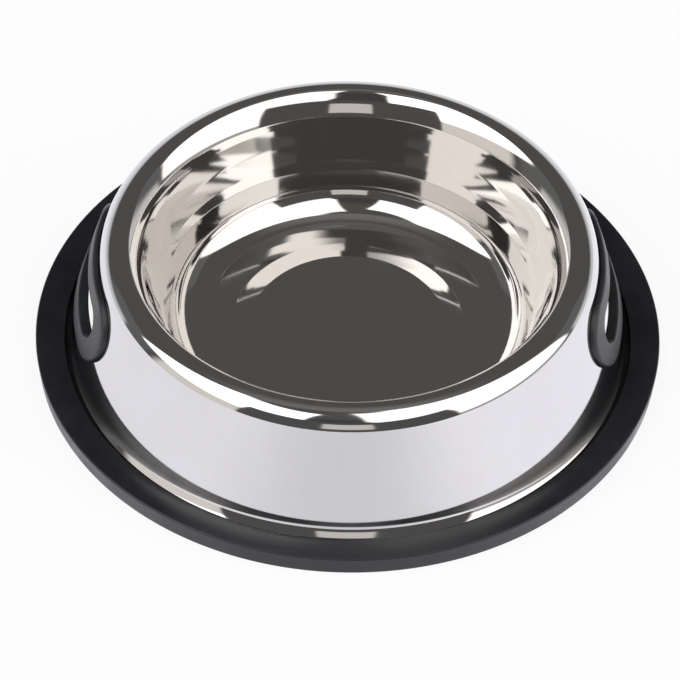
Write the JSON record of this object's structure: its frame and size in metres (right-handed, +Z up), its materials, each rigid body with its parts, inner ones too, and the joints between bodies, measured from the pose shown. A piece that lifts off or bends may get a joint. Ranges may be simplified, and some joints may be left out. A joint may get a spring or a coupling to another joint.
{
  "type": "non-tip dog bowl",
  "caption": "Round pressed steel dog bowl in a conical steel skirt, with a rubber base ring and a rubber-lined finger slot on each side.",
  "frame": {"origin": "on the floor under the centre of the bowl, in the plane of the base ring's sole", "axes": "+Z up along the bowl's axis, +X and -X through the two finger slots"},
  "size_m": [0.2998, 0.2998, 0.07],
  "materials": {
    "polished_steel": "mirror-polished stainless steel",
    "skirt_steel": "mirror-polished stainless steel",
    "ring_rubber": "matt moulded rubber",
    "grommet_rubber": "satin moulded rubber"
  },
  "bodies": {
    "root": {"inner_bowl": "polished_steel", "outer_skirt": "skirt_steel", "base_ring": "ring_rubber", "left_grip_grommet": "grommet_rubber", "right_grip_grommet": "grommet_rubber"}
  },
  "joints": []
}
